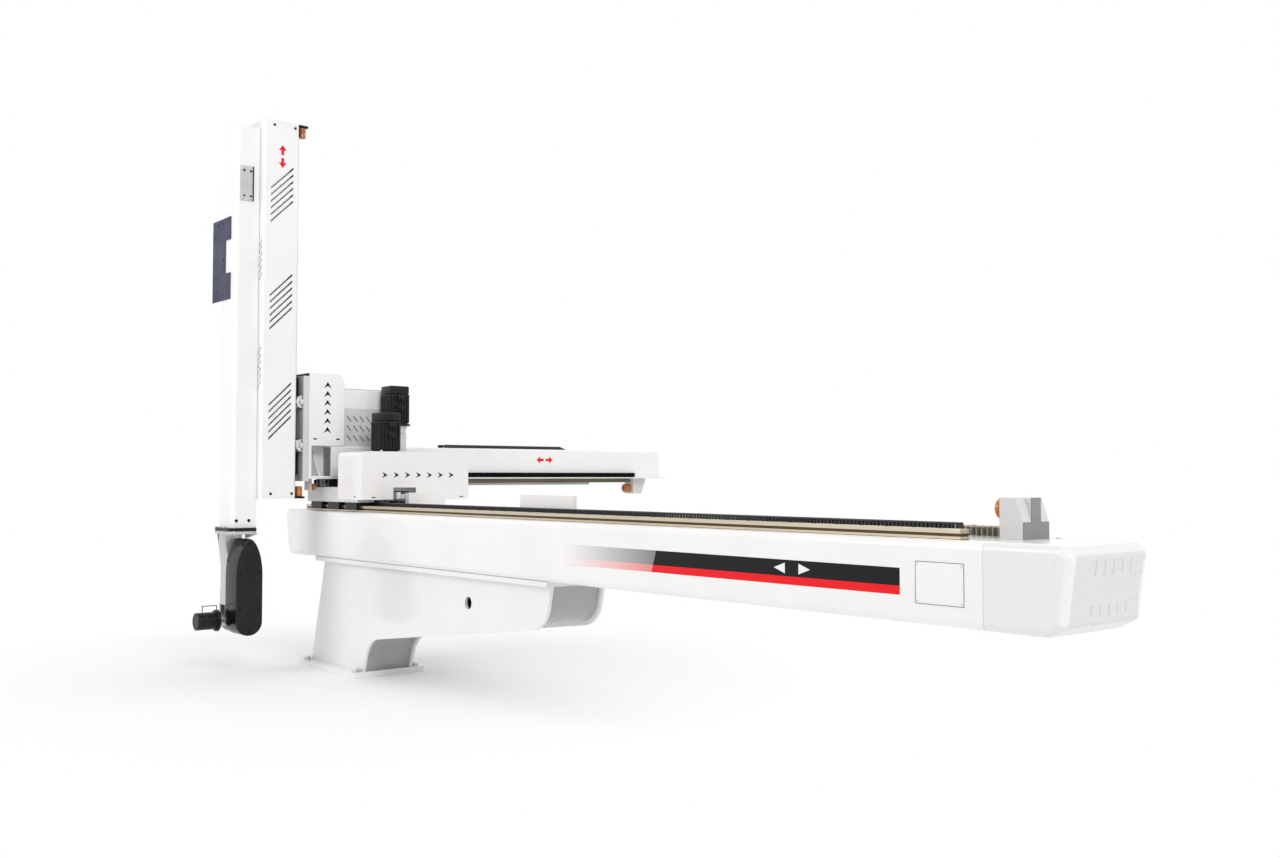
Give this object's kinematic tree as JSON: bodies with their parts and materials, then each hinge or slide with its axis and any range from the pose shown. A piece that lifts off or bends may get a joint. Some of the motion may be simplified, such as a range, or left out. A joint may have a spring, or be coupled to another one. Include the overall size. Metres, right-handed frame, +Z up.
{
  "type": "injection moulding take-out robot",
  "caption": "Gantry take-out robot: pedestal, long traverse beam, carriage with crosswise beam, telescopic vertical arm and swinging wrist with a tool flange.",
  "frame": {"origin": "centre of the foot plate's underside", "axes": "+X along the traverse beam towards its far end, +Y towards the back of the robot, +Z up"},
  "size_m": [3.9191, 2.382, 2.321],
  "materials": {
    "white_paint": "gloss",
    "light_grey_paint": "satin",
    "black_paint": "satin",
    "blue_paint": "satin",
    "white_moulding": "gloss",
    "rail_steel": "ground",
    "gear_steel": "ground",
    "black_steel": "blackened",
    "zinc_steel": "zinc plated",
    "black_plastic": "matte",
    "amber_urethane": "cast polyurethane",
    "bright_aluminium": "machined",
    "cast_aluminium": "cast",
    "belt_rubber": "matte"
  },
  "bodies": {
    "frame": {"foot_plate": "white_paint", "anchor_bolts": "zinc_steel", "pedestal_side_plates": "white_paint", "pedestal_webs": "white_paint", "pedestal_flange": "white_paint", "main_beam": "white_paint", "left_end_cap": "white_moulding", "right_end_cap": "white_moulding", "traverse_rails": "rail_steel", "traverse_rack": "rail_steel", "cable_duct": "black_plastic", "drag_chain": "black_plastic", "chain_anchor_box": "white_paint", "traverse_stop": "light_grey_paint", "traverse_bumper": "amber_urethane"},
    "carriage": {"traverse_guide_blocks": "black_paint", "carriage_saddle": "light_grey_paint", "servo_gearboxes": "light_grey_paint", "traverse_motor": "black_paint", "crosswise_motor": "black_paint", "crosswise_bracket": "light_grey_paint", "carriage_cover": "white_paint", "cable_box": "white_paint", "crosswise_guide_blocks": "black_paint"},
    "traverse_pinion": {"traverse_pinion": "gear_steel"},
    "crosswise_pinion": {"crosswise_pinion": "gear_steel"},
    "crosswise": {"crosswise_beam": "white_paint", "crosswise_end_cap": "white_moulding", "crosswise_rails": "gear_steel", "crosswise_rack": "black_steel", "underside_channel": "light_grey_paint", "crosswise_stops": "light_grey_paint", "crosswise_bumpers": "amber_urethane", "top_drag_chain": "black_plastic", "head_bracket": "white_paint", "head_plate": "light_grey_paint", "arm_guide_blocks": "black_paint", "head_cover": "white_paint", "rear_cover": "white_paint", "lift_drive": "light_grey_paint"},
    "drive_pulley": {"drive_pulley": "bright_aluminium"},
    "low_idler": {"low_idler": "bright_aluminium"},
    "high_idler": {"high_idler": "bright_aluminium"},
    "arm": {"arm_cover": "white_paint", "arm_core": "bright_aluminium", "arm_rails": "rail_steel", "arm_belt": "belt_rubber", "arm_end_plates": "white_paint", "arm_bumpers": "amber_urethane", "slide_guide_blocks": "black_paint"},
    "slide": {"slide_tube": "white_paint", "slide_rails": "rail_steel", "ring_flange": "black_paint", "joint_plate": "zinc_steel", "valve_plate": "blue_paint", "wrist_housing": "cast_aluminium", "wrist_belt_cover": "black_paint", "wrist_side_cover": "black_paint"},
    "swing_head": {"swing_head": "cast_aluminium"},
    "tool": {"tool_flange": "black_paint"}
  },
  "joints": [
    {"name": "traverse", "type": "slide", "parent": "frame", "child": "carriage", "axis": [1, 0, 0], "range_m": [0, 2.85]},
    {"name": "traverse_pinion_spin", "type": "hinge", "parent": "carriage", "child": "traverse_pinion", "pos_m": [0.127, 0.0447, 0.69], "axis": [0, 0, 1], "range_deg": [-20, 5463.1]},
    {"name": "crosswise", "type": "slide", "parent": "carriage", "child": "crosswise", "axis": [0, -1, 0], "range_m": [0, 1.35]},
    {"name": "crosswise_pinion_spin", "type": "hinge", "parent": "carriage", "child": "crosswise_pinion", "pos_m": [0.0143, 0.149, 0.83], "axis": [0, 0, 1], "range_deg": [-20, 2598.3]},
    {"name": "lift", "type": "slide", "parent": "crosswise", "child": "arm", "axis": [0, 0, -1], "range_m": [0, 1]},
    {"name": "extend", "type": "slide", "parent": "arm", "child": "slide", "axis": [0, 0, -1], "range_m": [0, 1]},
    {"name": "drive_pulley_spin", "type": "hinge", "parent": "crosswise", "child": "drive_pulley", "pos_m": [-0.058, -0.166, 1.048], "axis": [1, 0, 0], "range_deg": [-1527.8, 20]},
    {"name": "low_idler_spin", "type": "hinge", "parent": "crosswise", "child": "low_idler", "pos_m": [-0.058, -0.2596, 0.955], "axis": [1, 0, 0], "range_deg": [-20, 2142.1]},
    {"name": "high_idler_spin", "type": "hinge", "parent": "crosswise", "child": "high_idler", "pos_m": [-0.058, -0.2596, 1.14], "axis": [1, 0, 0], "range_deg": [-20, 2142.1]},
    {"name": "swing", "type": "hinge", "parent": "slide", "child": "swing_head", "pos_m": [-0.227, -0.468, 0.223], "axis": [1, 0, 0], "range_deg": [0, 180]},
    {"name": "tool_turn", "type": "hinge", "parent": "swing_head", "child": "tool", "pos_m": [-0.227, -0.54, 0.223], "axis": [0, -1, 0], "range_deg": [-180, 180]}
  ],
  "couplings": [
    {"joint": "traverse_pinion_spin", "follows": "traverse", "rad_per_m": 33.333},
    {"joint": "crosswise_pinion_spin", "follows": "crosswise", "rad_per_m": 33.333},
    {"joint": "extend", "follows": "lift", "ratio": 1},
    {"joint": "drive_pulley_spin", "follows": "lift", "rad_per_m": -26.316},
    {"joint": "low_idler_spin", "follows": "lift", "rad_per_m": 37.037},
    {"joint": "high_idler_spin", "follows": "lift", "rad_per_m": 37.037}
  ]
}
